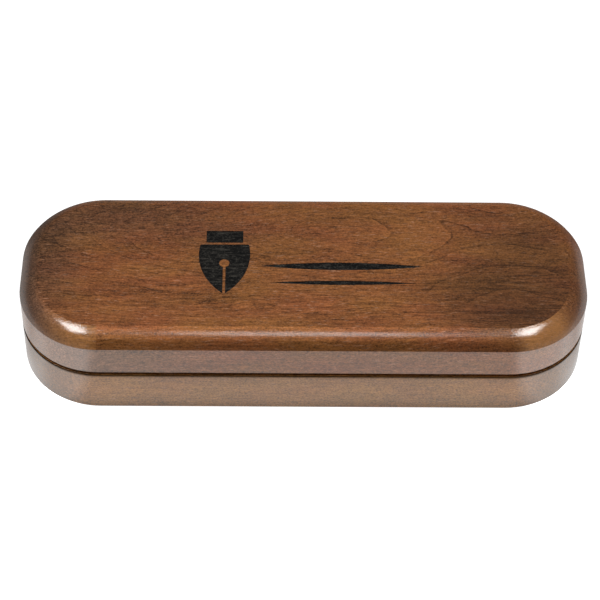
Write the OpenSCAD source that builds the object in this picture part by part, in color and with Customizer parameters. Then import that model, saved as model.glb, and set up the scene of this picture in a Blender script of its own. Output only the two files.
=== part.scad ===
// Two-pen wooden case: a routed base and a round-edged lid on two brass butt hinges,
// held shut by two magnets, with a velvet pen bed below and a padded lining above.
// Origin: centre of the underside. +X along the case, +Y to the hinges, +Z up.

/* [Case] */
// Length of the wooden case
case_l = 177.8; // [170:0.1:195]
// Width of the wooden case, without the hinge knuckles
case_w = 63.5; // [62:0.1:72]
// Height of the closed case
case_h = 31.75; // [31.2:0.05:36]
// Corner radius in plan
corner_r = 25.4; // [22:0.1:28]
// Rim thickness of base and lid
rim = 8.5; // [8.2:0.1:9]
// Thickness of the base's floor and of the lid's top
panel_t = 4; // [3.6:0.1:4.4]
// Open gap between base and lid, which the hinge leaves fill at the back
gap = 1.2; // [1.2:0.1:1.6]
// Sanded rounding of the outer edges
edge_r = 0.4; // [0.2:0.05:0.6]

/* [Lid edge] */
// Radius of the lid's rounded top edge, an arc that leaves a crisp line above and below it
round_r = 9.2; // [8.2:0.1:12]
// How far that arc reaches in over the top
round_reach = 6; // [5.5:0.1:6.5]
// How far it reaches down the side
round_depth = 4.4; // [3.8:0.1:5]

/* [Emblem] */
// Depth of the engraved emblem
engrave_depth = 0.3; // [0.2:0.05:0.5]
// Thickness of the black enamel in the engraving
enamel_t = 0.2; // [0.1:0.05:0.2]
// Length of the engraved pen nib
nib_l = 27; // [18:0.5:28]

/* [Hinges] */
// Distance of each hinge from the middle of the case
hinge_x = 42; // [34:1:46]
// Length of a hinge along its pin
hinge_l = 22; // [20:0.5:26]
// Width of a leaf on the rim
leaf_w = 7; // [6.6:0.1:7.5]
// Thickness of a leaf
leaf_t = 0.5; // [0.4:0.05:0.5]
// Outer radius of the knuckles
knuckle_r = 1.6; // [1.5:0.05:1.8]
// Radius of the hinge pin
pin_r = 0.75; // [0.6:0.05:0.9]
// Length of a hinge screw
screw_l = 7; // [5:0.5:9]

/* [Closure] */
// Diameter of the magnets and their steel strikes
magnet_d = 6; // [5:0.5:6]
// Height of a magnet
magnet_h = 3; // [2:0.5:4]
// Distance of each magnet from the middle of the case
magnet_x = 42; // [30:1:50]

/* [Pen bed] */
// Radius of a pen channel
channel_r = 8; // [7.2:0.1:8.4]
// Length of a pen channel
channel_l = 146; // [130:1:150]
// Depth of a pen channel below the top of the bed
channel_depth = 6.5; // [5:0.1:6.8]
// Distance of each channel's middle from the middle of the bed
channel_y = 10.2; // [9.6:0.1:10.8]
// Length of the finger hollow across both channels
scoop_l = 28; // [20:1:34]

/* [Hidden] */
$fn = 96;

// Colours
walnut_stain = "saddlebrown";
antique_brass = "goldenrod";
steel = "silver";
velvet = "midnightblue";
board_grey = "dimgray";
foam_grey = "gray";
enamel_black = "black";

// Case halves
shell_h = (case_h - gap) / 2;       // height of each half
lid_z = shell_h + gap;              // underside of the lid's rim
ceiling_z = case_h - panel_t;       // top of the lid's hollow
hollow_l = case_l - 2 * rim;
hollow_w = case_w - 2 * rim;
hollow_r = corner_r - rim;
rim_y = case_w / 2 - rim / 2;       // middle of the long rims
round_chord = sqrt(pow(round_reach, 2) + pow(round_depth, 2));
round_start = atan(round_depth / round_reach) - asin(round_chord / 2 / round_r);    // its slope at the top

// Hinges
play = 0.05;                        // radial clearance of pins, screws and magnets
knuckle_gap = 0.15;                 // clearance round and between knuckles
knuckles = 5;
knuckle_pitch = hinge_l / knuckles;
axis_y = case_w / 2 + knuckle_r + knuckle_gap;
axis_z = shell_h + gap / 2;
screw_r = 0.95;
screw_head_r = 1.9;
screw_head_h = 1;
screw_slot_w = 0.5;
screw_spread = 7;                   // distance of each screw from the middle of its hinge
screw_y = case_w / 2 - leaf_w / 2 - 0.3;

// Closure: magnet and strike stand proud and nearly touch, so the gap is even all round
touch_gap = 0.1;
proud = (gap - touch_gap) / 2;
strike_h = 2;

// Pen bed
fit_gap = 0.4;                      // between the lining and the wood
fabric_t = 0.5;
board_t = 1.2;
bed_top = panel_t + 8.8;
bed_l = hollow_l - 2 * fit_gap;
bed_w = hollow_w - 2 * fit_gap;
bed_r = hollow_r - fit_gap;
channel_z = bed_top - channel_depth + channel_r;
scoop_depth = channel_depth - 0.5;
scoop_r = (pow(scoop_l / 2, 2) + pow(scoop_depth, 2)) / (2 * scoop_depth);
scoop_w = 2 * channel_y + channel_r;

// Lid pad
pad_board_t = 1;
pad_t = 4.6;                        // board, foam and cover together
pad_z = ceiling_z - pad_t;

// Emblem: a nib that points to the front edge, and two long pen strokes beside it
nib_x = -25;
nib_y = 1;
nib_w = nib_l * 0.6;
slit_w = 0.8;
vent_r = 1.6;
stroke_x = 12;
broad_stroke = [52, 3.2, -0.5];     // length, width, y
fine_stroke = [46, 1.8, -7.5];

// ---- Shapes that repeat ----

// A block with rounded corners in plan. The child is its 2D edge profile,
// from the corner's centre at x = 0 to the outer face at x = r, with z drawn as y.
module edged_block(l, w, r, h) {
    run_x = l - 2 * r;
    run_y = w - 2 * r;
    for (corner = [[1, 1, 0], [-1, 1, 90], [-1, -1, 180], [1, -1, 270]])
        translate([corner[0] * run_x / 2, corner[1] * run_y / 2, 0])
            rotate([0, 0, corner[2]])
                rotate_extrude(angle = 90)
                    children();
    for (side = [0, 1])
        mirror([0, side, 0])
            translate([-run_x / 2, run_y / 2, 0])
                rotate([90, 0, 90])
                    linear_extrude(run_x)
                        children();
    for (side = [0, 1])
        mirror([side, 0, 0])
            translate([run_x / 2, run_y / 2, 0])
                rotate([90, 0, 0])
                    linear_extrude(run_y)
                        children();
    translate([-run_x / 2, -run_y / 2, 0])
        cube([run_x, run_y, h]);
}

module plain_block(l, w, r, h) {
    edged_block(l, w, r, h)
        square([r, h]);
}

// The corner that a sanded edge of radius edge_r removes from a square edge at the origin
module edge_waste() {
    difference() {
        translate([-edge_r, -edge_r])
            square(edge_r + 1);
        translate([-edge_r, -edge_r])
            circle(edge_r);
    }
}

// A countersunk screw that points down, with its head's top at the origin. The
// same shape, larger by grow, is the hole for it.
module screw_body(grow = 0) {
    translate([0, 0, -screw_head_h])
        cylinder(h = screw_head_h, r1 = screw_r + grow, r2 = screw_head_r + grow);
    translate([0, 0, -screw_l - grow])
        cylinder(h = screw_l + grow - screw_head_h / 2, r = screw_r + grow);
}

module screw() {
    difference() {
        screw_body();
        translate([-screw_head_r, -screw_slot_w / 2, -screw_slot_w])
            cube([2 * screw_head_r, screw_slot_w, 1]);
    }
}

// Puts its child at the four screw places on the base's rim
module at_base_screws() {
    for (side = [-1, 1], end = [-1, 1])
        translate([side * hinge_x + end * screw_spread, screw_y, shell_h + leaf_t])
            children();
}

// Turns what is drawn for the base into its twin on the lid
module on_lid() {
    translate([0, 0, 2 * axis_z])
        mirror([0, 0, 1])
            children();
}

// ---- Wooden halves ----

module base_profile() {
    difference() {
        square([corner_r, shell_h]);
        translate([corner_r, shell_h])
            edge_waste();
        translate([corner_r, 0])
            mirror([0, 1])
                edge_waste();
    }
}

module lid_profile() {
    lap = 0.5;                      // so that the arc alone makes both crisp lines
    difference() {
        intersection() {
            square([corner_r, shell_h]);
            union() {
                square([corner_r, shell_h - round_depth - lap]);
                square([corner_r - round_reach - lap, shell_h]);
                translate([corner_r - round_reach - round_r * sin(round_start),
                           shell_h - round_r * cos(round_start)])
                    circle(round_r);
            }
        }
        translate([corner_r, 0])
            mirror([0, 1])
                edge_waste();
    }
}

module magnet_pockets(z, depth) {
    for (side = [-1, 1])
        translate([side * magnet_x, -rim_y, z])
            cylinder(h = depth, r = magnet_d / 2 + play);
}

module base_shell() {
    color(walnut_stain)
        difference() {
            edged_block(case_l, case_w, corner_r, shell_h)
                base_profile();
            translate([0, 0, panel_t])
                plain_block(hollow_l, hollow_w, hollow_r, shell_h);
            at_base_screws()
                screw_body(play);
            magnet_pockets(shell_h + proud - magnet_h, magnet_h + 1);
        }
}

module lid_shell() {
    color(walnut_stain)
        difference() {
            translate([0, 0, lid_z])
                edged_block(case_l, case_w, corner_r, shell_h)
                    lid_profile();
            translate([0, 0, ceiling_z - shell_h])
                plain_block(hollow_l, hollow_w, hollow_r, shell_h);
            on_lid()
                at_base_screws()
                    screw_body(play);
            magnet_pockets(lid_z - proud - 1, strike_h + 1);
            translate([0, 0, case_h - engrave_depth])
                linear_extrude(1)
                    emblem();
        }
}

// ---- Emblem ----

// A pointed oval of length l and width w, between two arcs
module pointed_oval(l, w) {
    r = (pow(l / 2, 2) + pow(w / 2, 2)) / w;
    intersection() {
        translate([0, r - w / 2])
            circle(r, $fn = 256);
        translate([0, w / 2 - r])
            circle(r, $fn = 256);
    }
}

// A pen nib with its tip at the origin, pointing to -X: tines with a slit and a vent, then a collar
module nib() {
    blade_l = nib_l * 0.78;
    slit_l = blade_l * 0.62;
    difference() {
        intersection() {
            translate([nib_l * 0.62, 0])
                pointed_oval(nib_l * 1.24, nib_w);
            translate([0, -nib_w / 2])
                square([blade_l, nib_w]);
        }
        translate([-1, -slit_w / 2])
            square([slit_l + 1, slit_w]);
        translate([slit_l, 0])
            circle(vent_r);
    }
    translate([blade_l + slit_w, -nib_w * 0.36])
        square([nib_l - blade_l - slit_w, nib_w * 0.72]);
}

module emblem() {
    translate([nib_x, nib_y - nib_l / 2])
        rotate([0, 0, 90])
            nib();
    for (stroke = [broad_stroke, fine_stroke])
        translate([stroke_x, stroke[2]])
            pointed_oval(stroke[0], stroke[1]);
}

module emblem_enamel() {
    color(enamel_black)
        translate([0, 0, case_h - engrave_depth])
            linear_extrude(enamel_t)
                emblem();
}

// ---- Hinges ----

// Cylinders along X for the knuckles whose number, from 0, has this remainder
module knuckle_row(remainder, r, over) {
    for (i = [0 : knuckles - 1])
        if (i % 2 == remainder)
            translate([-hinge_l / 2 + i * knuckle_pitch - over, axis_y, axis_z])
                rotate([0, 90, 0])
                    cylinder(h = knuckle_pitch + 2 * over, r = r);
}

// The leaf on the base's rim. Its own knuckles have the given remainder,
// and it is cut back round the other leaf's.
module leaf(own) {
    color(antique_brass)
        difference() {
            union() {
                translate([-hinge_l / 2, case_w / 2 - leaf_w, shell_h])
                    cube([hinge_l, axis_y - case_w / 2 + leaf_w, leaf_t]);
                knuckle_row(own, knuckle_r, -knuckle_gap / 2);
            }
            knuckle_row(1 - own, knuckle_r + knuckle_gap, knuckle_gap / 2);
            translate([-hinge_l, axis_y, axis_z])
                rotate([0, 90, 0])
                    cylinder(h = 2 * hinge_l, r = pin_r + play);
            for (end = [-1, 1])
                translate([end * screw_spread, screw_y, shell_h + leaf_t])
                    screw_body(play);
        }
}

// The pin, with a low head at each end
module hinge_pin() {
    head_h = 0.4;
    color(antique_brass)
        translate([-hinge_l / 2, axis_y, axis_z])
            rotate([0, 90, 0]) {
                cylinder(h = hinge_l, r = pin_r);
                translate([0, 0, -head_h])
                    cylinder(h = head_h, r1 = pin_r, r2 = pin_r + 0.4);
                translate([0, 0, hinge_l])
                    cylinder(h = head_h, r1 = pin_r + 0.4, r2 = pin_r);
            }
}

module on_side(side) {
    translate([side * hinge_x, 0, 0])
        children();
}

module base_hinge_screws() {
    color(antique_brass)
        at_base_screws()
            screw();
}

module lid_hinge_screws() {
    on_lid()
        base_hinge_screws();
}

// ---- Closure ----

module base_magnets() {
    color(steel)
        for (side = [-1, 1])
            translate([side * magnet_x, -rim_y, shell_h + proud - magnet_h])
                cylinder(h = magnet_h, r = magnet_d / 2);
}

module lid_strikes() {
    color(steel)
        for (side = [-1, 1])
            translate([side * magnet_x, -rim_y, lid_z - proud])
                cylinder(h = strike_h, r = magnet_d / 2);
}

// ---- Pen bed ----

// The two pen channels and the finger hollow across them, larger by grow
module bed_hollows(grow = 0) {
    straight = channel_l - 2 * channel_r;
    for (side = [-1, 1])
        translate([0, side * channel_y, channel_z]) {
            translate([-straight / 2, 0, 0])
                rotate([0, 90, 0])
                    cylinder(h = straight, r = channel_r + grow);
            for (end = [-1, 1])
                translate([end * straight / 2, 0, 0])
                    sphere(channel_r + grow);
        }
    translate([0, scoop_w / 2 + grow, bed_top - scoop_depth + scoop_r])
        rotate([90, 0, 0])
            cylinder(h = scoop_w + 2 * grow, r = scoop_r + grow);
}

module bed_board() {
    color(board_grey)
        translate([0, 0, panel_t])
            plain_block(bed_l, bed_w, bed_r, board_t);
}

module foam_shape() {
    foam_z = panel_t + board_t;
    difference() {
        translate([0, 0, foam_z])
            plain_block(bed_l - 2 * fabric_t, bed_w - 2 * fabric_t, bed_r - fabric_t,
                        bed_top - fabric_t - foam_z);
        bed_hollows(fabric_t);
    }
}

module bed_foam() {
    color(foam_grey)
        foam_shape();
}

module bed_velvet() {
    velvet_z = panel_t + board_t;
    color(velvet)
        difference() {
            translate([0, 0, velvet_z])
                plain_block(bed_l, bed_w, bed_r, bed_top - velvet_z);
            bed_hollows();
            foam_shape();
        }
}

// ---- Lid lining ----

module lid_pad_board() {
    color(board_grey)
        translate([0, 0, ceiling_z - pad_board_t])
            plain_block(bed_l, bed_w, bed_r, pad_board_t);
}

module pad_foam_shape() {
    translate([0, 0, pad_z + fabric_t])
        plain_block(bed_l - 2 * fabric_t, bed_w - 2 * fabric_t, bed_r - fabric_t,
                    pad_t - pad_board_t - fabric_t);
}

module lid_pad_foam() {
    color(foam_grey)
        pad_foam_shape();
}

module lid_pad_cover() {
    color(velvet)
        difference() {
            translate([0, 0, pad_z])
                plain_block(bed_l, bed_w, bed_r, pad_t - pad_board_t);
            pad_foam_shape();
        }
}

base_shell();
bed_board();
bed_foam();
bed_velvet();
on_side(-1) leaf(0);  // hinge_left_base_leaf
on_side(1) leaf(0);  // hinge_right_base_leaf
on_side(-1) hinge_pin();  // hinge_left_pin
on_side(1) hinge_pin();  // hinge_right_pin
base_hinge_screws();
base_magnets();
lid_shell();
emblem_enamel();
lid_pad_board();
lid_pad_foam();
lid_pad_cover();
on_side(-1) on_lid() leaf(1);  // hinge_left_lid_leaf
on_side(1) on_lid() leaf(1);  // hinge_right_lid_leaf
lid_hinge_screws();
lid_strikes();
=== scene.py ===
"""Fountain pen case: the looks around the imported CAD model, in metres, in the CAD's own frame.

The two wooden halves, the hinges and the closure are the CAD's own pieces with procedural
materials. The velvet bed, its foam and the lid's padded lining are modelled here.
"""

import math

import bmesh
import bpy
from mathutils import Matrix, Vector, noise

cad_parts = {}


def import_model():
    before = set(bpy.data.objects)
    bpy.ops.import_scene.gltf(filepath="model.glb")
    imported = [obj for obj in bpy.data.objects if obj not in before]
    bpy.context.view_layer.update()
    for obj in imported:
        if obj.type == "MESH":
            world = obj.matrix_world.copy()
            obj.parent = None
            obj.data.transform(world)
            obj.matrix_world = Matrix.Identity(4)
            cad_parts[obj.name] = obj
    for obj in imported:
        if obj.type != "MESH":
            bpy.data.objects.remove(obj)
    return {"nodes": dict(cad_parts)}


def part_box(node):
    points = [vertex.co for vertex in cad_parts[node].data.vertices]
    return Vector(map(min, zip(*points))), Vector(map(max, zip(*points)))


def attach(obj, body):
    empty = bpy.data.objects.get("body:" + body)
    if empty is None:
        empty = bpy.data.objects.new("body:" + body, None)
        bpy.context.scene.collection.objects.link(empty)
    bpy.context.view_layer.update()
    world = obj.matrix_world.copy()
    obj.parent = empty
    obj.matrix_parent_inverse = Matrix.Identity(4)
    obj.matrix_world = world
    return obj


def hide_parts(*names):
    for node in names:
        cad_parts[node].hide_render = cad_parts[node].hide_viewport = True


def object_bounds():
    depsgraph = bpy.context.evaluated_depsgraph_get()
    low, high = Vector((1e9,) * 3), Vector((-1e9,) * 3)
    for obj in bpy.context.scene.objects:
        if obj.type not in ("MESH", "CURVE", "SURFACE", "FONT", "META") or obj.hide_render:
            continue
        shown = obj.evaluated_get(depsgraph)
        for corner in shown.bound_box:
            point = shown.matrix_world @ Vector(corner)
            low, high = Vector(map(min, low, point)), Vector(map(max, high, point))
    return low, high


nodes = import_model()["nodes"]
cad_low, cad_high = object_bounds()
scene = bpy.context.scene

MM = 0.001

# ---- Camera and light ----

CAMERA_DISTANCE = 0.690         # from the middle of the closed case
CAMERA_ELEVATION = math.radians(48.28)
CAMERA_AZIMUTH = math.radians(-1.2)
CAMERA_ROLL = math.radians(1.234)
CAMERA_LENS = 129.65            # millimetres
CAMERA_SENSOR = 36.0            # millimetres wide
CAMERA_SHIFT = (-0.0054, -0.0024)

# Three lamps hang over the case: (place, length along X, width, watts)
LAMPS = {
    "lamp_left": ((-0.278, -0.07, 0.60), 0.165, 0.27, 1.95),
    "lamp_right": ((0.252, -0.065, 0.60), 0.155, 0.26, 1.88),
    "lamp_middle": ((0.01, -0.16, 0.60), 0.14, 0.16, 0.27),
}

# Brightness of the room by the sine of the elevation: pale low walls, dim above
ROOM = [(0.0, 0.95), (0.10, 0.92), (0.15, 0.40), (0.45, 0.17), (0.68, 0.11), (1.0, 0.11)]
OPENING = (0.93, 0.97)          # a dark opening in front: cosines of its half angle, from rim to dark
CEILING = (0.75, 0.85)          # sines of the elevation between which the opening ends

FLOOR_REACH = 6.0               # metres each way
FLOOR_ALBEDO = 0.3
FLOOR_GLOW = 0.92
FLOOR_SIDE_GLOW = 1.0           # more of it in front of the case, left and right
FLOOR_SIDES = (69.0, 76.0)      # millimetres from the middle, where that sets in
FLOOR_FRONT = (-22.0, -10.0)


# ---- Node trees ----

class Tree:
    """A node tree with short ways to add the nodes that the materials here use."""

    def __init__(self, owner):
        owner.use_nodes = True
        self.tree = owner.node_tree
        self.tree.nodes.clear()

    def add(self, kind, inputs=(), **settings):
        node = self.tree.nodes.new(kind)
        for name, value in settings.items():
            setattr(node, name, value)
        for key, value in dict(inputs).items():
            self.put(node.inputs[key], value)
        return node

    def put(self, socket, value):
        if isinstance(value, bpy.types.NodeSocket):
            self.tree.links.new(value, socket)
        else:
            socket.default_value = value

    def math(self, operation, a, b=0.0, c=0.0):
        node = self.add("ShaderNodeMath", operation=operation)
        for socket, value in zip(node.inputs, (a, b, c)):
            self.put(socket, value)
        return node.outputs[0]

    def vector_math(self, operation, a, b=(0.0, 0.0, 0.0)):
        node = self.add("ShaderNodeVectorMath", operation=operation)
        self.put(node.inputs[0], a)
        self.put(node.inputs[1], b)
        return node.outputs[0]

    def combine(self, x, y, z):
        return self.add("ShaderNodeCombineXYZ", {"X": x, "Y": y, "Z": z}).outputs[0]

    def place(self):
        """The point on the object, in millimetres, as a vector and as its x, y and z."""
        point = self.add("ShaderNodeTexCoord").outputs["Object"]
        scaled = self.vector_math("MULTIPLY", point, (1000.0, 1000.0, 1000.0))
        split = self.add("ShaderNodeSeparateXYZ", {"Vector": scaled})
        return scaled, split.outputs

    def cells(self, vector, size, offset=(0.0, 0.0, 0.0)):
        """The vector counted in cells of the given size, so a noise of scale 1 has such blobs."""
        return self.vector_math("ADD", self.vector_math("DIVIDE", vector, size), offset)

    def length(self, a, b):
        square = self.math("ADD", self.math("MULTIPLY", a, a), self.math("MULTIPLY", b, b))
        return self.math("SQRT", square)

    def scale(self, value, low, high, to_low, to_high, interpolation="LINEAR"):
        """Maps low..high to to_low..to_high, and holds the ends."""
        node = self.add(
            "ShaderNodeMapRange",
            {"Value": value, "From Min": low, "From Max": high, "To Min": to_low, "To Max": to_high},
            interpolation_type=interpolation,
        )
        return node.outputs[0]

    def spread(self, value, amount):
        """A noise as a swing of that amount about nothing."""
        return self.math("MULTIPLY_ADD", value, amount, -amount / 2)

    def noise(self, vector, detail=2.0, roughness=0.5, distortion=0.0):
        node = self.add(
            "ShaderNodeTexNoise",
            {"Vector": vector, "Scale": 1.0, "Detail": detail,
             "Roughness": roughness, "Distortion": distortion},
        )
        return node.outputs["Fac"]

    def ramp(self, factor, stops, interpolation="LINEAR"):
        """stops are (position, value), where a value is a number or a colour."""
        node = self.add("ShaderNodeValToRGB", {"Fac": factor})
        band = node.color_ramp
        band.interpolation = interpolation
        while len(band.elements) < len(stops):
            band.elements.new(1.0)
        for element, (position, value) in zip(band.elements, stops):
            element.position = position
            element.color = (*value, 1.0) if isinstance(value, tuple) else (value,) * 3 + (1.0,)
        return node.outputs["Color"]

    def mix(self, factor, a, b, blend="MIX"):
        node = self.add("ShaderNodeMix", data_type="RGBA", blend_type=blend)
        self.put(node.inputs["Factor"], factor)
        self.put(node.inputs[6], (*a, 1.0) if isinstance(a, tuple) else a)
        self.put(node.inputs[7], (*b, 1.0) if isinstance(b, tuple) else b)
        return node.outputs[2]

    def bump(self, height, strength, distance_mm, normal=None):
        node = self.add(
            "ShaderNodeBump",
            {"Height": height, "Strength": strength, "Distance": distance_mm * MM},
        )
        if normal is not None:
            self.put(node.inputs["Normal"], normal)
        return node.outputs["Normal"]


class Finish(Tree):
    """A material with one Principled shader."""

    def __init__(self, name):
        self.material = bpy.data.materials.new(name)
        super().__init__(self.material)
        self.shader = self.add("ShaderNodeBsdfPrincipled")
        out = self.add("ShaderNodeOutputMaterial")
        self.put(out.inputs["Surface"], self.shader.outputs[0])

    def set(self, **inputs):
        """Sets the shader's inputs, such as base_color for Base Color."""
        for name, value in inputs.items():
            self.put(self.shader.inputs[name.replace("_", " ").title().replace("Ior", "IOR")], value)


def srgb(red, green, blue):
    """A colour given as 0 to 255 display values, as linear light."""
    def linear(value):
        share = value / 255
        return share / 12.92 if share <= 0.04045 else ((share + 0.055) / 1.055) ** 2.4
    return linear(red), linear(green), linear(blue)


# ---- Wood ----

# Growth rings cut nearly flat leave an island on the lid, long to its right, and two arches.
# Distances are in millimetres, as in all materials here.
ISLAND = (0.5, 15.0)
ISLAND_STEPS = (2.2, 21.0)      # ring spacing to its left and to its right
ISLAND_ENDS = (0.65, 1.15)      # powers of the distance there, which crowd or spread its rings
ISLAND_ACROSS = (2.5, 8.5)      # ring spacing across it, at its middle and ISLAND_REACH to the right
ISLAND_REACH = 50.0
ARCHES = [                      # middle, ring spacings along X and Y, rings taken off
    ((64.0, -40.0), (9.5, 9.8), 2.6),
    ((66.0, 36.0), (13.5, 9.0), 0.0),
]
RING_BLEND = 0.4                # how softly the island's rings run into the arches'
RING_SLANT = 0.36               # rings passed for each millimetre down

# Light gained or lost at a ring's pale line, at its dark one and at the fine layers within it
RING_PALE = 0.22
RING_DARK = 0.50
LAYER_DARK = 0.1
LAYERS_IN_RING = 3.0

# Each noise of the wood: size of its blobs along X, Y and Z, shift in blobs, detail and roughness
WOOD_NOISES = {
    "swerve": ((60, 18, 18), (0, 0, 0), 2.0, 0.5),
    "ripple": ((9, 4, 4), (3, 7, 1), 2.0, 0.5),
    "waver": ((30, 11, 11), (11, 2, 5), 1.0, 0.5),
    "jag": ((3.0, 1.4, 1.4), (2, 5, 11), 2.0, 0.5),
    "patch": ((16, 8, 8), (1, 9, 4), 2.0, 0.5),
    "cloud": ((30, 10, 10), (-14, 5, 3), 2.0, 0.5),
    "band": ((16, 1.3, 1.3), (0, 0, 0), 2.0, 0.5),
    "dash": ((3.0, 0.42, 0.42), (0, 0, 0), 2.0, 0.6),
    "dashed": ((24, 10, 10), (8, 3, 2), 2.0, 0.5),
    "hair": ((13.0, 0.5, 0.5), (6, 8, 3), 1.0, 0.5),
    "mottle": ((0.6, 0.42, 0.42), (5, 1, 2), 2.0, 0.7),
    "pore": ((2.6, 0.24, 0.24), (2, 4, 8), 1.0, 0.5),
    "fleck": ((2.6, 0.3, 0.3), (9, 3, 6), 1.0, 0.5),
    "hue": ((26, 9, 9), (3, 17, 7), 2.0, 0.5),
    "pebble": ((0.7, 0.45, 0.45), (1, 6, 9), 1.0, 0.5),
}
SWERVE = 9.0                    # how far the fibres swing across the grain, over a long stretch
RIPPLE = 1.2                    # and over a short one
WALL_SPECKS = 1.5               # strength of the fine specks on the walls
EDGE_SPECKS = 0.9               # and on the rounded edge

# Painted shade by height over the case's height: along the seam between lid and base, at the base's foot
# and below the lid's rounded edge, with a little painted light partway up the base's wall
CASE_HEIGHT = (cad_high.z - cad_low.z) / MM
LID_HEIGHT_SHADE = [(0.519, 0.40), (0.532, 0.80), (0.550, 0.97), (0.78, 1.0), (0.858, 0.86), (0.866, 1.0)]
BASE_HEIGHT_SHADE = [(0.03, 0.70), (0.10, 0.84), (0.20, 1.0), (0.26, 1.06), (0.37, 1.0), (0.43, 0.92),
            (0.452, 0.75), (0.467, 0.35), (0.481, 0.12)]

# Patches drawn darker or, below nothing, paler: middle, half length, half width, depth
DARKER_PATCHES = [
    ((-66.0, 22.0), 52.0, 17.0, 0.28),
    ((-88.0, 0.0), 24.0, 34.0, 0.34),
    ((-26.0, 13.0), 26.0, 9.0, 0.14),
    ((72.0, -12.0), 46.0, 28.0, 0.45),
    ((68.0, 12.0), 22.0, 8.0, 0.18),
    ((82.0, 19.0), 38.0, 19.0, 0.16),
    ((25.0, 13.0), 30.0, 14.0, -0.16),
    ((-48.0, -2.0), 24.0, 7.0, -0.20),
    ((-48.0, -24.0), 38.0, 12.0, -0.14),
    ((12.0, -17.0), 30.0, 15.0, -0.08),
    ((64.0, -22.0), 32.0, 8.0, 0.14),
]
DARKEST = 0.25                  # the least light that figure and patches leave
SMOKE = (96, 76, 62)            # what a deep patch turns the colour to, at the left
BARE = (150, 102, 58)           # the wood where the stain was rubbed off, at the front corners
FLECK = (156, 118, 94)          # lacquer that stands in a pore
CORNER_WEAR = 0.3               # how much thinner the lacquer is round the corners' walls


class Faces:
    """Which way the surface faces, and masks of its walls, its rounded edge and its flats.

    along, across and up are the parts of the normal along X, Y and Z.
    """

    def __init__(self, f):
        normal = f.add("ShaderNodeTexCoord").outputs["Normal"]
        self.along, self.across, self.up = f.add("ShaderNodeSeparateXYZ", {"Vector": normal}).outputs
        self.turned = f.math("ABSOLUTE", self.along)
        self.not_wall = f.scale(self.up, 0.3, 0.45, 0.0, 1.0)
        self.wall = f.math("SUBTRACT", 1.0, self.not_wall)
        self.edge = f.ramp(self.up, [(0.35, 0.0), (0.42, 1.0), (0.97, 1.0), (0.985, 0.0)])
        self.flat = f.scale(f.math("ABSOLUTE", self.up), 0.9, 0.97, 0.0, 1.0)


def wood_noise(f, name, point):
    """One of the wood's noises at the point, a number about 0.5."""
    size, shift, detail, roughness = WOOD_NOISES[name]
    return f.noise(f.cells(point, size, shift), detail, roughness)


def ellipse(f, x, y, middle, half_length, half_width):
    """The distance from the middle, counted in half lengths and half widths."""
    return f.length(f.math("DIVIDE", f.math("SUBTRACT", x, middle[0]), half_length),
                    f.math("DIVIDE", f.math("SUBTRACT", y, middle[1]), half_width))


def growth_rings(f, point):
    """Counts the growth rings outwards from the island and the arches."""
    x, y, z = f.add("ShaderNodeSeparateXYZ", {"Vector": point}).outputs
    away = f.math("SUBTRACT", x, ISLAND[0])
    left, right = ISLAND_STEPS
    ahead = f.math("POWER", f.math("MAXIMUM", f.math("DIVIDE", away, right), 0.0), ISLAND_ENDS[1])
    behind = f.math("POWER", f.math("MAXIMUM", f.math("DIVIDE", away, -left), 0.0), ISLAND_ENDS[0])
    across = f.scale(away, 0.0, ISLAND_REACH, *ISLAND_ACROSS)
    side = f.math("DIVIDE", f.math("SUBTRACT", y, ISLAND[1]), across)
    rings = f.length(f.math("ADD", ahead, behind), side)
    far_left = f.scale(x, -10.0, 30.0, 12.0, 0.0)       # the arches end there
    for middle, steps, lead in ARCHES:
        arch = f.math("SUBTRACT", ellipse(f, x, y, middle, *steps), lead)
        rings = f.math("SMOOTH_MIN", rings, f.math("ADD", arch, far_left), RING_BLEND)
    return f.math("SUBTRACT", rings, f.math("MULTIPLY", z, RING_SLANT))


def ring_patches(f, point, x, y):
    """How strongly ring lines show: in patches, less in front, and hardly where they cross the grain."""
    patchy = f.ramp(wood_noise(f, "patch", point), [(0.36, 0.55), (0.60, 1.0)])
    patchy = f.math("MULTIPLY", patchy, f.scale(y, -24.0, -4.0, 0.25, 1.0))
    level = f.scale(f.math("ABSOLUTE", f.math("SUBTRACT", y, ISLAND[1])), 1.0, 8.0, 0.95, 0.0)
    behind_island = f.math("MULTIPLY", level, f.scale(x, -12.0, -2.0, 1.0, 0.0))
    arch_ends = f.math("MULTIPLY", f.scale(x, -14.0, -8.0, 0.0, 1.0), f.scale(x, 24.0, 34.0, 1.0, 0.0))
    arch_ends = f.math("MULTIPLY", arch_ends, f.scale(y, -2.0, 6.0, 1.0, 0.0))
    for crossing in (behind_island, arch_ends):
        patchy = f.math("MULTIPLY", patchy, f.math("SUBTRACT", 1.0, crossing))
    return patchy


def ring_figure(f, point, x, y, strength):
    """Light gained and lost at the rings: a dark line that fades outwards, with a pale one inside it."""
    waver = f.spread(wood_noise(f, "waver", point), 0.7)
    jag = f.spread(wood_noise(f, "jag", point), 0.10)
    rings = f.math("ADD", growth_rings(f, point), f.math("ADD", waver, jag))
    phase = f.math("FRACT", rings)
    line = f.ramp(phase, [(0.0, 0.0), (0.012, 1.0), (0.03, 0.9), (0.06, 0.35), (0.3, 0.1), (0.7, 0.0)])
    pale = f.ramp(phase, [(0.93, 0.0), (0.975, 0.8), (0.99, 0.8), (1.0, 0.0)])
    layer = f.math("FRACT", f.math("MULTIPLY", rings, LAYERS_IN_RING))
    layer = f.ramp(layer, [(0.0, 1.0), (0.35, 0.1), (0.8, 0.0), (1.0, 1.0)])
    light = f.math("MULTIPLY", pale, RING_PALE * strength)
    light = f.math("SUBTRACT", light, f.math("MULTIPLY", line, RING_DARK * strength))
    light = f.math("SUBTRACT", light, f.math("MULTIPLY", layer, LAYER_DARK))
    return f.math("MULTIPLY", light, ring_patches(f, point, x, y))


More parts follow.
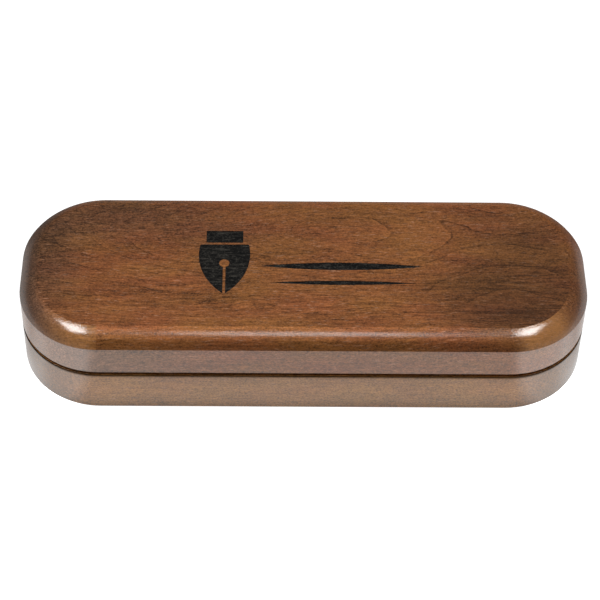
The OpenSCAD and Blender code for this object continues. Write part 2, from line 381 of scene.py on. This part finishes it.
def follow_fibres(f, point):
    """The point moved across the grain, so that what is drawn there swerves a little."""
    swerve = f.spread(wood_noise(f, "swerve", point), SWERVE)
    ripple = f.spread(wood_noise(f, "ripple", point), RIPPLE)
    bend = f.math("ADD", swerve, ripple)
    return f.vector_math("ADD", point, f.combine(0.0, bend, f.math("MULTIPLY", bend, 0.5)))


class Grain:
    """The wood's figure, as light gained and lost, and the parts of it that the lacquer follows."""

    def __init__(self, f, point, x, y, ring_strength):
        fibre = follow_fibres(f, point)
        self.dash = wood_noise(f, "dash", fibre)
        self.mottle = wood_noise(f, "mottle", point)
        self.pore = f.ramp(wood_noise(f, "pore", fibre), [(0.62, 0.0), (0.72, 0.4)])
        self.fleck = f.ramp(wood_noise(f, "fleck", fibre), [(0.60, 0.0), (0.74, 0.55)])
        dashed = f.ramp(wood_noise(f, "dashed", point), [(0.4, 0.7), (0.6, 1.15)])
        hairy = f.scale(y, -8.0, 12.0, 1.3, 0.4)        # long crisp fibres in the front half
        layers = [
            f.spread(wood_noise(f, "band", fibre), 0.65),
            f.spread(self.mottle, 2.1),
            f.math("MULTIPLY", dashed, f.spread(self.dash, 1.6)),
            f.math("MULTIPLY", hairy, f.spread(wood_noise(f, "hair", fibre), 1.0)),
            ring_figure(f, point, x, y, ring_strength),
        ]
        figure = f.spread(wood_noise(f, "cloud", point), 0.55)
        for layer in layers:
            figure = f.math("ADD", figure, layer)
        self.figure = f.math("SUBTRACT", figure, self.pore)


def patch_darkening(f, x, y):
    """The share of light that the darker patches take."""
    depth = 0.0
    for middle, half_length, half_width, deepest in DARKER_PATCHES:
        away = ellipse(f, x, y, middle, half_length, half_width)
        pool = f.scale(away, 0.25, 1.0, deepest, 0.0, "SMOOTHSTEP")
        depth = f.math("ADD", depth, pool)
    return depth


def plainness(f, faces, x, pool):
    """How much of the figure shows: less on walls, round the ends and in the dark patches at the right.
    """
    turned = f.math("MULTIPLY", faces.edge, f.scale(faces.turned, 0.2, 0.6, 0.3, 0.6))
    veiled = f.math("MULTIPLY", f.math("MAXIMUM", pool, 0.0), f.scale(x, 0.0, 40.0, 0.1, 0.85))
    shown = f.scale(faces.not_wall, 0.0, 1.0, 0.6, 1.0)
    for hidden in (turned, veiled):
        shown = f.math("MULTIPLY", shown, f.math("SUBTRACT", 1.0, hidden))
    return shown


def end_light(f, faces, end_stain):
    """The light left at the ends, where end grain drinks more stain."""
    end = f.ramp(faces.turned, [(0.12, 1.0), (0.5, end_stain), (0.95, end_stain - 0.12)])
    not_left = f.scale(faces.along, -0.1, 0.1, 0.0, 1.0)
    end = f.mix(f.math("MULTIPLY", faces.not_wall, not_left), end, (1.0, 1.0, 1.0))
    right = f.scale(faces.along, 0.1, 0.5, 0.0, 1.0)
    taken = f.math("MULTIPLY_ADD", right, f.scale(faces.across, -0.5, 0.1, 0.05, 0.16),
                   f.scale(faces.along, -0.5, -0.1, 0.32, 0.0))
    return f.math("MULTIPLY", end, f.math("SUBTRACT", 1.0, f.math("MULTIPLY", faces.edge, taken)))


def edge_sanding_and_shade(f, faces):
    """The light left on the rounded edge in front: sanded pale above, and painted shade along its foot.
    """
    pale = f.ramp(faces.up, [(0.45, 0.0), (0.76, 0.0), (0.85, 0.15), (0.94, 0.45), (0.975, 0.55),
                             (0.985, 0.0)])
    # Painted shade along the foot of the rounded edge, where less light falls on it
    dark = f.ramp(faces.up, [(0.45, 0.0), (0.47, 0.52), (0.64, 0.46), (0.74, 0.36), (0.80, 0.0)])
    straight = f.scale(faces.turned, 0.08, 0.42, 1.0, 0.25)
    in_front = f.scale(faces.across, -0.12, 0.0, 1.0, 0.15)
    rubbed = f.math("SUBTRACT", pale, f.math("MULTIPLY", dark, straight))
    return f.math("MULTIPLY_ADD", in_front, rubbed, 1.0)


def rubbed_corners(f, faces):
    """Where the stain was rubbed off: the rounded edge of the front corners, most at the right one."""
    facing = f.math("ADD", faces.turned, f.math("ABSOLUTE", faces.across))
    turned = f.scale(f.math("DIVIDE", faces.along, facing), -1.0, 1.0, 0.0, 1.0)
    corner = f.ramp(turned, [
        (0.20, 0.0), (0.29, 0.40), (0.38, 1.0), (0.46, 0.95), (0.495, 0.0),
        (0.52, 0.0), (0.60, 1.0), (0.73, 1.0), (0.83, 0.0)])
    in_front = f.scale(faces.across, -0.12, 0.0, 1.0, 0.0)
    return f.math("MULTIPLY", faces.edge, f.math("MULTIPLY", corner, in_front))


def smoked(f, faces, x, depth):
    """How far the colour turns smoky: in the dark patches, at the left end, and on the walls."""
    smoke = f.math("MULTIPLY", f.math("MAXIMUM", depth, 0.0), f.scale(x, -60.0, 30.0, 1.0, 0.25))
    left_edge = f.math("MULTIPLY", faces.edge, f.scale(faces.along, -0.35, -0.1, 0.6, 0.0))
    on_walls = f.math("MAXIMUM", f.scale(faces.turned, 0.1, 0.8, 0.2, 0.6),
                      f.scale(x, -65.0, -25.0, 0.7, 0.2))
    smoke = f.math("MAXIMUM", smoke, left_edge)
    return f.math("MAXIMUM", smoke, f.math("MULTIPLY", on_walls, faces.wall))


def worn_lacquer(f, faces, shade_by_height):
    """The coat's weight: thin round the ends and the lips, and nearly gone above the hinges."""
    worn = f.ramp(f.scale(faces.across, -1.0, 1.0, 0.0, 1.0), [(0.36, 0.0), (0.5, 0.5), (0.6, 0.9)])
    rounded = f.scale(faces.turned, 0.15, 0.6, 0.0, CORNER_WEAR)
    worn = f.math("ADD", f.math("MULTIPLY", faces.edge, worn), f.math("MULTIPLY", faces.wall, rounded))
    # The coat is also thinner where the painted shade by height is deep
    worn = f.math("MAXIMUM", worn, f.scale(shade_by_height, 0.2, 0.85, 0.95, 0.0))
    return f.math("SUBTRACT", 1.0, worn)


def wood(name, red_brown, gold_brown, shift, ring_strength, end_stain, height_shade):
    """Stained, lacquered hardwood with its grain along X.

    shift moves the figure, ring_strength sets how dark its ring lines are, end_stain is the light
    left on end grain, and height_shade gives painted shade by height along the seam and the walls' feet.
    """
    f = Finish(name)
    place, (_, _, height) = f.place()
    faces = Faces(f)
    shade_by_height = f.ramp(f.math("DIVIDE", height, CASE_HEIGHT), height_shade)
    shade_by_height = f.math("MAXIMUM", shade_by_height, faces.flat)            # the flats themselves get no such painted shade
    point = f.vector_math("ADD", place, shift)
    x, y, _ = f.add("ShaderNodeSeparateXYZ", {"Vector": point}).outputs
    grain = Grain(f, point, x, y, ring_strength)

    # Light left by the figure, the dark patches and the fine specks on walls and edges
    pool = f.math("MULTIPLY", patch_darkening(f, x, y), faces.not_wall)
    figure = f.math("MULTIPLY", grain.figure, plainness(f, faces, x, pool))
    fine = f.math("MULTIPLY_ADD", faces.wall, WALL_SPECKS, f.math("MULTIPLY", faces.edge, EDGE_SPECKS))
    depth = f.math("SUBTRACT", pool, f.math("MULTIPLY", fine, f.math("SUBTRACT", grain.mottle, 0.5)))
    light = f.math("SUBTRACT", f.math("ADD", figure, 1.0), depth)
    light = f.math("MULTIPLY", f.math("MAXIMUM", light, DARKEST), end_light(f, faces, end_stain))
    # Sanded paler above on the rounded edge in front, with painted shade along its foot
    light = f.math("MULTIPLY", light, edge_sanding_and_shade(f, faces))
    bare = rubbed_corners(f, faces)
    # On the bared corners: the figure, with painted shade towards the foot of the rounded edge
    sanded = f.math("MULTIPLY_ADD", figure, 0.7, f.scale(faces.up, 0.5, 0.85, 0.62, 0.93))
    light = f.math("MULTIPLY_ADD", bare, f.math("SUBTRACT", sanded, light), light)
    # Painted shade by height, along the seam and at the feet of the walls
    light = f.math("MULTIPLY", light, shade_by_height)

    hue = f.ramp(wood_noise(f, "hue", point), [(0.35, 0.0), (0.65, 1.0)])
    colour = f.mix(hue, red_brown, gold_brown)
    for share, other in ((smoked(f, faces, x, depth), SMOKE), (bare, BARE), (grain.fleck, FLECK)):
        colour = f.mix(share, colour, srgb(*other))

    # The lacquer follows the fibres and the pores a little
    relief = f.math("SUBTRACT", f.math("ADD", grain.dash, grain.mottle), grain.pore)
    pebble = wood_noise(f, "pebble", point)
    f.set(
        base_color=f.mix(1.0, colour, light, "MULTIPLY"),
        roughness=f.ramp(grain.dash, [(0.3, 0.55), (0.7, 0.42)]),
        coat_weight=worn_lacquer(f, faces, shade_by_height),
        coat_roughness=0.15,
        coat_ior=1.65,
        specular_ior_level=0.0,
        normal=f.bump(relief, 0.5, 0.04),
        coat_normal=f.bump(pebble, 0.5, 0.05, f.bump(relief, 0.4, 0.02)),
    )
    return f.material


# ---- Other materials ----

def black_fill():
    """Matt black paint in the engraving, with the wood's fibres showing through."""
    f = Finish("black_fill")
    point, _ = f.place()
    strand = f.noise(f.cells(point, (4.0, 0.5, 0.5)), detail=3.0, roughness=0.7)
    speck = f.noise(f.cells(point, (0.5, 0.3, 0.3)), detail=2.0)
    colour = f.ramp(strand, [(0.38, srgb(6, 6, 6)), (0.54, srgb(17, 16, 15)), (0.70, srgb(60, 57, 52))])
    colour = f.mix(f.ramp(speck, [(0.56, 0.0), (0.70, 0.5)]), colour, srgb(82, 79, 73))
    f.set(
        base_color=colour,
        roughness=f.ramp(speck, [(0.3, 0.7), (0.7, 0.5)]),
        specular_ior_level=0.1,
        normal=f.bump(strand, 0.4, 0.04),
    )
    return f.material


def brass(name, bright, dark, smoothest):
    """Brass that has been brushed along X and has darkened in patches."""
    f = Finish(name)
    point, _ = f.place()
    brushed = f.noise(f.cells(point, (6.0, 0.12, 0.12)), detail=2.0)
    patina = f.noise(f.cells(point, (3.0, 2.2, 2.2)), detail=4.0, roughness=0.6)
    colour = f.mix(f.ramp(patina, [(0.38, 0.0), (0.68, 0.75)]), bright, dark)
    colour = f.mix(f.ramp(brushed, [(0.35, 0.25), (0.6, 0.0)]), colour, srgb(110, 80, 42))
    f.set(
        base_color=colour,
        metallic=1.0,
        roughness=f.ramp(patina, [(0.35, smoothest), (0.7, smoothest + 0.16)]),
        normal=f.bump(brushed, 0.3, 0.01),
    )
    return f.material


def nickel():
    """Nickel plate with fine turning marks and a few scuffs."""
    f = Finish("nickel_plate")
    point, _ = f.place()
    scuff = f.noise(f.cells(point, (0.9, 0.25, 0.5)), detail=4.0, roughness=0.7)
    cloud = f.noise(f.cells(point, (2.0, 2.0, 2.0)), detail=2.0)
    f.set(
        base_color=f.ramp(cloud, [(0.35, srgb(214, 212, 206)), (0.7, srgb(190, 187, 180))]),
        metallic=1.0,
        roughness=f.ramp(scuff, [(0.35, 0.34), (0.7, 0.5)]),
        normal=f.bump(scuff, 0.2, 0.01),
    )
    return f.material


def velvet():
    """Charcoal velvet: a deep pile that is brushed in soft patches."""
    f = Finish("charcoal_velvet")
    point, _ = f.place()
    pile = f.noise(f.cells(point, (0.3, 0.3, 0.3)), detail=2.0, roughness=0.7)
    brushed = f.noise(f.cells(point, (17.0, 9.0, 9.0), (3.0, 1.0, 2.0)), detail=2.0)
    stroke = f.noise(f.cells(point, (7.0, 1.8, 1.8)), detail=2.0)
    colour = f.ramp(brushed, [(0.35, srgb(40, 40, 44)), (0.65, srgb(52, 52, 57))])
    colour = f.mix(f.ramp(pile, [(0.34, 0.5), (0.60, 0.0)]), colour, srgb(20, 20, 22))
    colour = f.mix(f.ramp(stroke, [(0.45, 0.0), (0.75, 0.18)]), colour, srgb(74, 74, 80))
    f.set(
        base_color=colour,
        roughness=f.ramp(brushed, [(0.3, 0.96), (0.7, 0.84)]),
        sheen_weight=0.85,
        sheen_roughness=0.3,
        sheen_tint=(0.78, 0.78, 0.80, 1.0),
        specular_ior_level=0.15,
        normal=f.bump(pile, 0.6, 0.10, f.bump(brushed, 0.4, 0.2)),
    )
    return f.material


def foam():
    """Closed-cell foam."""
    f = Finish("grey_foam")
    point, _ = f.place()
    cell = f.add("ShaderNodeTexVoronoi", {"Vector": point, "Scale": 1.8}).outputs["Distance"]
    f.set(
        base_color=f.ramp(cell, [(0.0, srgb(46, 46, 48)), (0.6, srgb(72, 72, 74))]),
        roughness=f.ramp(cell, [(0.0, 0.95), (0.6, 0.8)]),
        normal=f.bump(cell, 0.6, 0.1),
    )
    return f.material


def millboard():
    """Grey board with paper fibres."""
    f = Finish("grey_millboard")
    point, _ = f.place()
    fibre = f.noise(f.cells(point, (1.8, 0.5, 0.5)), detail=4.0, roughness=0.65, distortion=0.6)
    f.set(
        base_color=f.ramp(fibre, [(0.3, srgb(96, 92, 86)), (0.7, srgb(142, 137, 128))]),
        roughness=f.ramp(fibre, [(0.3, 0.95), (0.7, 0.82)]),
        normal=f.bump(fibre, 0.4, 0.05),
    )
    return f.material


# ---- Stage ----

def make_floor():
    """A white floor, whose brightness is mostly its own glow."""
    mesh = bpy.data.meshes.new("floor")
    corners = [(x * FLOOR_REACH, y * FLOOR_REACH, 0) for x, y in ((-1, -1), (1, -1), (1, 1), (-1, 1))]
    mesh.from_pydata(corners, [], [(0, 1, 2, 3)])
    floor = bpy.data.objects.new("floor", mesh)
    scene.collection.objects.link(floor)
    f = Finish("pale_floor")
    _, (x, y, _) = f.place()
    aside = f.scale(f.math("ABSOLUTE", x), *FLOOR_SIDES, 0.0, FLOOR_SIDE_GLOW)
    in_front = f.scale(y, *FLOOR_FRONT, 1.0, 0.0)
    f.set(base_color=(FLOOR_ALBEDO, FLOOR_ALBEDO, FLOOR_ALBEDO, 1.0), roughness=0.7,
          emission_color=(1.0, 1.0, 1.0, 1.0),
          emission_strength=f.math("MULTIPLY_ADD", aside, in_front, FLOOR_GLOW))
    mesh.materials.append(f.material)


def make_room():
    """The room, as the world's light: pale walls, dim above, with an opening in front."""
    world = bpy.data.worlds.new("room")
    scene.world = world
    t = Tree(world)
    direction = t.add("ShaderNodeTexCoord").outputs["Generated"]
    _, ahead, up = t.add("ShaderNodeSeparateXYZ", {"Vector": direction}).outputs
    level = t.math("SQRT", t.math("SUBTRACT", 1.0, t.math("MULTIPLY", up, up)))
    facing = t.math("DIVIDE", ahead, t.math("MAXIMUM", level, 0.001))
    opening = t.ramp(t.math("MULTIPLY", facing, -1.0), [(OPENING[0], 1.0), (OPENING[1], 0.1)])
    walls = t.ramp(up, [(CEILING[0], 1.0), (CEILING[1], 0.0)])
    glow = t.ramp(up, [(sine, bright / 2) for sine, bright in ROOM], "EASE")
    glow = t.mix(walls, glow, t.mix(1.0, glow, opening, "MULTIPLY"))
    background = t.add("ShaderNodeBackground", {"Color": glow, "Strength": 2.0})
    out = t.add("ShaderNodeOutputWorld")
    t.put(out.inputs["Surface"], background.outputs[0])


def make_lamps():
    """Each lamp faces the middle of the case, with its length along X."""
    for name, (place, length, width, watts) in LAMPS.items():
        light = bpy.data.lights.new(name, "AREA")
        light.shape = "RECTANGLE"
        light.size, light.size_y = length, width
        light.energy = watts
        lamp = bpy.data.objects.new(name, light)
        scene.collection.objects.link(lamp)
        back = Vector(place).normalized()
        right = Vector((0, 1, 0)).cross(back).normalized()
        turn = Matrix((right, back.cross(right), back)).transposed().to_4x4()
        lamp.matrix_world = Matrix.Translation(place) @ turn


def make_camera():
    """The camera looks at the middle of the closed case."""
    target = Vector((0, 0, (cad_low.z + cad_high.z) / 2))
    level = math.cos(CAMERA_ELEVATION)
    back = Vector((math.sin(CAMERA_AZIMUTH) * level, -math.cos(CAMERA_AZIMUTH) * level,
                   math.sin(CAMERA_ELEVATION)))
    right = Vector((0, 0, 1)).cross(back).normalized()
    up = back.cross(right)
    tilted_right = math.cos(CAMERA_ROLL) * right + math.sin(CAMERA_ROLL) * up
    tilted_up = back.cross(tilted_right)
    data = bpy.data.cameras.new("camera")
    data.lens = CAMERA_LENS
    data.sensor_width = CAMERA_SENSOR
    data.shift_x, data.shift_y = CAMERA_SHIFT
    camera = bpy.data.objects.new("camera", data)
    scene.collection.objects.link(camera)
    camera.matrix_world = Matrix.Translation(target + back * CAMERA_DISTANCE) @ Matrix(
        (tilted_right, tilted_up, back)).transposed().to_4x4()
    scene.camera = camera


# ---- Lining ----

FABRIC = 0.45 * MM              # thickness of both cloths
FABRIC_GAP = 0.05 * MM          # left between a cloth's wall and the foam inside it
FOOT_GAP = 0.02 * MM            # left between a lining's foot and the board it lies on
PLAN_RADIUS = 16.5 * MM         # round corners of both linings, as in the CAD
WALL_LEVELS = 6                 # rows of faces down a lining's wall
FOAM_STEP = 1.0 * MM            # between the points of a foam's mesh
BED_CLOTH_STEP = 0.45 * MM      # and of each cloth's
LID_CLOTH_STEP = 1.0 * MM

BED_ROUNDING = 1.6 * MM         # where the velvet turns over the bed's outer edge
BED_RIPPLE = 0.06 * MM          # how uneven the glued velvet is
BED_FOAM_GAP = 0.1 * MM         # between the velvet and the foam under its face
BED_FOAM_REACH = 0.5 * MM       # how far round a point the foam stays under the velvet's face
CHANNEL_SOFTNESS = 2.4 * MM     # how much the foam rounds the channels' edges
CHANNEL_RADIUS = 8.0 * MM
CHANNEL_DEPTH = 6.5 * MM
CHANNEL_HALF_STRAIGHT = 65.0 * MM
CHANNEL_OFFSET = 10.2 * MM
ROUND_SHARE = 0.97              # of a channel's radius, past which its wall is straight
SCOOP_HALF_LENGTH = 14.0 * MM
SCOOP_DEPTH = 6.0 * MM
SCOOP_HALF_WIDTH = 14.2 * MM
SCOOP_TURN = 1.2 * MM           # how far inside its half width the hollow's end wall starts
SCOOP_SOFTNESS = 1.6 * MM       # how much the foam rounds the hollow's edges
SCOOP_FLOOR_SOFTNESS = 2.0 * MM     # and its floor, where the end walls rise
WALL_SLOPE = 4.0                # rise over run, where the walls of channels and hollow are straight

LID_ROUNDING = 2.4 * MM         # where the lining turns over the edge of the lid's pad
LID_RIPPLE = 0.05 * MM          # how uneven the lining is
LID_FOAM_GAP = 0.25 * MM        # between the lining and the foam behind its face
LID_CROWN = 0.7 * MM            # how much the pad swells towards its middle
LID_CROWN_REACH = 11.0 * MM     # how far in from its outline that goes on

RIPPLE_WIDE = (11.0 * MM, 7.0 * MM, 0.3)        # length, width and place in the noise
RIPPLE_SMALL = (3.5 * MM, 2.5 * MM, 4.7)
RIPPLE_SMALL_SHARE = 0.4

HELD_INSET = 1.0 * MM           # the lid's cloth is held this far in from its outline
FREE_OVER = 2.0 * MM            # and comes free over this much more
SETTLING_FRAMES = 20


def soft_min(a, b, width):
    """The lower of two heights, blended over width."""
    share = min(max(0.5 + 0.5 * (b - a) / width, 0.0), 1.0)
    return b + (a - b) * share - width * share * (1 - share)


def soft_max(a, b, width):
    """The higher of two heights, blended over width."""
    return -soft_min(-a, -b, width)


class RoundedPlan:
    """A rectangle with round corners, and a grid of points over it that follows its outline."""

    def __init__(self, low, high, inset=0.0):
        self.half_x, self.half_y = (high.x - low.x) / 2 - inset, (high.y - low.y) / 2 - inset
        self.radius = PLAN_RADIUS - inset

    def half_width(self, x):
        """How far the outline lies from the X axis, at x."""
        past = abs(x) - (self.half_x - self.radius)
        if past <= 0:
            return self.half_y
        return self.half_y - self.radius + math.sqrt(max(self.radius ** 2 - past ** 2, 0.0))

    def columns(self, step):
        """x of each column: even along the straight, and by equal angles round the corners."""
        straight = self.half_x - self.radius
        turns = round(self.radius * math.pi / 2 / step)
        corner = [straight + self.radius * math.sin(math.pi / 2 * i / turns) for i in range(1, turns + 1)]
        count = round(2 * straight / step)
        middle = [-straight + 2 * straight * i / count for i in range(count + 1)]
        return [-x for x in reversed(corner)] + middle + corner

    def inset(self, x, y):
        """How far inside the outline a point lies."""
        past_x = abs(x) - (self.half_x - self.radius)
        past_y = abs(y) - (self.half_y - self.radius)
        if past_x > 0 and past_y > 0:
            return self.radius - math.hypot(past_x, past_y)
        return min(self.half_x - abs(x), self.half_y - abs(y))


def face_grid(mesh, plan, height, step):
    """Columns of points over the plan, joined by faces."""
    rows = round(2 * plan.half_y / step)
    grid = []
    for x in plan.columns(step):
        half = plan.half_width(x)
        ys = [half * (2 * j / rows - 1) for j in range(rows + 1)]
        grid.append([mesh.verts.new((x, y, height(x, y))) for y in ys])
    for left, right in zip(grid, grid[1:]):
        for j in range(rows):
            mesh.faces.new((left[j], right[j], right[j + 1], left[j + 1]))
    return grid


def wall_to_foot(mesh, rim, foot):
    """Joins levels of faces to the rim, as far as the foot, and returns the last loop."""
    loop = rim
    for level in range(1, WALL_LEVELS + 1):
        share = level / WALL_LEVELS
        lower = [mesh.verts.new((v.co.x, v.co.y, v.co.z + (foot - v.co.z) * share)) for v in rim]
        for i, vertex in enumerate(loop):
            after = (i + 1) % len(loop)
            mesh.faces.new((loop[after], vertex, lower[i], lower[after]))
        loop = lower
    return loop


def skin_over(name, plan, height, foot, step, closed):
    """A mesh over the plan: height(x, y) gives its face, and its wall goes to the foot."""
    mesh = bmesh.new()
    grid = face_grid(mesh, plan, height, step)
    rim = ([column[0] for column in grid] + grid[-1][1:]
           + [column[-1] for column in reversed(grid[:-1])] + list(reversed(grid[0][1:-1])))
    bottom = mesh.faces.new(wall_to_foot(mesh, rim, foot))
    bmesh.ops.recalc_face_normals(mesh, faces=mesh.faces)
    if not closed:
        bmesh.ops.delete(mesh, geom=[bottom], context="FACES_ONLY")
    data = bpy.data.meshes.new(name)
    mesh.to_mesh(data)
    mesh.free()
    for polygon in data.polygons:
        polygon.use_smooth = True
    piece = bpy.data.objects.new(name, data)
    scene.collection.objects.link(piece)
    return piece


def give_thickness(piece):
    """Gives a cloth its thickness, which lies inside its outer face."""
    solid = piece.modifiers.new("thickness", "SOLIDIFY")
    solid.thickness = FABRIC
    solid.offset = -1.0


def edge_drop(inset, rounding):
    """How far a face rounded at its rim lies below its own flat part."""
    if inset >= rounding:
        return 0.0
    return rounding - math.sqrt(max(rounding ** 2 - (rounding - max(inset, 0.0)) ** 2, 0.0))


def bed_height(x, y, top):
    """The pen bed's face: two round-bottomed channels and a finger hollow across them."""
    axis = top - CHANNEL_DEPTH + CHANNEL_RADIUS
    low = top
    for side in (-1, 1):
        away = math.hypot(max(abs(x) - CHANNEL_HALF_STRAIGHT, 0.0), y - side * CHANNEL_OFFSET)
        if away < CHANNEL_RADIUS * ROUND_SHARE:
            channel = axis - math.sqrt(CHANNEL_RADIUS ** 2 - away ** 2)
        else:
            start = axis - CHANNEL_RADIUS * math.sqrt(1 - ROUND_SHARE ** 2)
            channel = start + (away - CHANNEL_RADIUS * ROUND_SHARE) * WALL_SLOPE
        low = soft_min(low, channel, CHANNEL_SOFTNESS)
    scoop_radius = (SCOOP_HALF_LENGTH ** 2 + SCOOP_DEPTH ** 2) / (2 * SCOOP_DEPTH)
    reach = min(abs(x), scoop_radius * 0.99)        # the hollow's arc ends past that
    hollow = top - SCOOP_DEPTH + scoop_radius - math.sqrt(scoop_radius ** 2 - reach ** 2)
    wall = top - SCOOP_DEPTH + (abs(y) - SCOOP_HALF_WIDTH + SCOOP_TURN) * WALL_SLOPE
    return soft_min(low, soft_max(hollow, wall, SCOOP_FLOOR_SOFTNESS), SCOOP_SOFTNESS)


def cloth_ripple(x, y, amount):
    """The small unevenness of glued cloth."""
    wide, small = [noise.noise(Vector((x / length, y / width, layer)))
                   for length, width, layer in (RIPPLE_WIDE, RIPPLE_SMALL)]
    return amount * (wide + RIPPLE_SMALL_SHARE * small)


def make_bed():
    """The pen bed: a foam block with velvet glued over it."""
    low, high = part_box("bed_velvet")
    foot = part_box("bed_foam")[0].z + FOOT_GAP
    plan = RoundedPlan(low, high)
    core_plan = RoundedPlan(low, high, FABRIC + FABRIC_GAP)

    def face(x, y):
        drop = edge_drop(plan.inset(x, y), BED_ROUNDING)
        return bed_height(x, y, high.z) - drop + cloth_ripple(x, y, BED_RIPPLE)

    def core_face(x, y):
        """Under the velvet: the lowest of its face near by, less its thickness."""
        steps = (-BED_FOAM_REACH, 0.0, BED_FOAM_REACH)
        near = [(x + step, y) for step in steps] + [(x, y + step) for step in steps]
        return min(face(*spot) for spot in near) - FABRIC - BED_FOAM_GAP

    core = skin_over("bed_foam_block", core_plan, core_face, foot, FOAM_STEP, closed=True)
    core.data.materials.append(foam())
    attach(core, "base")
    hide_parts("bed_foam")

    cloth = skin_over("bed_velvet_cloth", plan, face, foot, BED_CLOTH_STEP, closed=False)
    cloth.data.materials.append(velvet())
    give_thickness(cloth)
    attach(cloth, "base")
    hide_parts("bed_velvet")


def fill_out(cloth, plan, pressure, cap):
    """Lets the cloth slacken and fill from behind, held at its wall, and keeps each move under cap."""
    start = [vertex.co.copy() for vertex in cloth.data.vertices]
    held = cloth.vertex_groups.new(name="held")
    for i, point in enumerate(start):
        free = (plan.inset(point.x, point.y) - HELD_INSET) / FREE_OVER
        held.add([i], 1.0 - min(max(free, 0.0), 1.0), "REPLACE")
    modifier = cloth.modifiers.new("fill", "CLOTH")
    fabric = modifier.settings
    fabric.quality = 6
    fabric.mass = 0.1
    fabric.tension_stiffness = fabric.compression_stiffness = 12.0
    fabric.bending_stiffness = 0.08
    fabric.shrink_min = -0.035
    fabric.use_pressure = True
    fabric.uniform_pressure_force = pressure
    fabric.vertex_group_mass = held.name
    fabric.effector_weights.gravity = 0.0
    modifier.point_cache.frame_start, modifier.point_cache.frame_end = 1, SETTLING_FRAMES
    for step in range(1, SETTLING_FRAMES + 1):
        scene.frame_set(step)
    settled = cloth.evaluated_get(bpy.context.evaluated_depsgraph_get()).data
    moved = [vertex.co.copy() for vertex in settled.vertices]
    cloth.modifiers.remove(modifier)
    cloth.vertex_groups.remove(held)
    for vertex, before, after in zip(cloth.data.vertices, start, moved):
        move = after - before
        if move.length > 0:
            vertex.co = before + move * (math.tanh(move.length / cap) * cap / move.length)
    cloth.data.update()


def make_lid_lining():
    """The lid's lining: a foam pad with a cloth over it, face down."""
    low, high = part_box("lid_pad_cover")
    foot = high.z - FOOT_GAP
    plan = RoundedPlan(low, high)
    core_plan = RoundedPlan(low, high, FABRIC + FABRIC_GAP)

    def face(x, y):
        inset = plan.inset(x, y)
        swell = LID_CROWN * (1 - (1 - min(inset / LID_CROWN_REACH, 1.0)) ** 2)
        return low.z + edge_drop(inset, LID_ROUNDING) - swell + cloth_ripple(x, y, LID_RIPPLE)

    def core_face(x, y):
        return face(x, y) + FABRIC + LID_FOAM_GAP

    core = skin_over("lid_foam_pad", core_plan, core_face, foot, FOAM_STEP, closed=True)
    core.data.materials.append(foam())
    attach(core, "lid")
    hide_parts("lid_pad_foam")

    cloth = skin_over("lid_lining_cloth", plan, face, foot, LID_CLOTH_STEP, closed=False)
    fill_out(cloth, plan, pressure=1.0, cap=0.5 * MM)
    cloth.data.materials.append(velvet())
    give_thickness(cloth)
    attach(cloth, "lid")
    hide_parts("lid_pad_cover")


# ---- Putting it together ----

def dress(material, *names):
    """Gives the named CAD pieces one material."""
    for name in names:
        for slot in nodes[name].material_slots:
            slot.material = material


def dress_cad():
    """Gives the CAD's own pieces their materials."""
    lid_wood = wood("lid_wood", srgb(124, 73, 42), srgb(126, 80, 42), shift=(0.0, 0.0, 0.0),
                    ring_strength=1.0, end_stain=1.05, height_shade=LID_HEIGHT_SHADE)
    base_wood = wood("base_wood", srgb(144, 97, 52), srgb(148, 104, 54), shift=(37.0, -20.0, 9.0),
                     ring_strength=0.3, end_stain=0.62, height_shade=BASE_HEIGHT_SHADE)
    aged_brass = brass("aged_brass", srgb(222, 182, 104), srgb(160, 118, 62), smoothest=0.36)
    bright_brass = brass("bright_brass", srgb(240, 208, 134), srgb(206, 164, 92), smoothest=0.26)
    dress(lid_wood, "lid_shell")
    dress(base_wood, "base_shell")
    dress(black_fill(), "emblem_enamel")
    dress(aged_brass, *[name for name in nodes if name.endswith(("leaf", "pin"))])
    dress(bright_brass, "base_hinge_screws", "lid_hinge_screws")
    dress(nickel(), "base_magnets", "lid_strikes")
    dress(millboard(), "bed_board", "lid_pad_board")


make_camera()
make_room()
make_lamps()
make_floor()
dress_cad()
make_bed()
make_lid_lining()
scene.frame_set(1)

scene.view_settings.view_transform = "Standard"
scene.view_settings.look = "None"
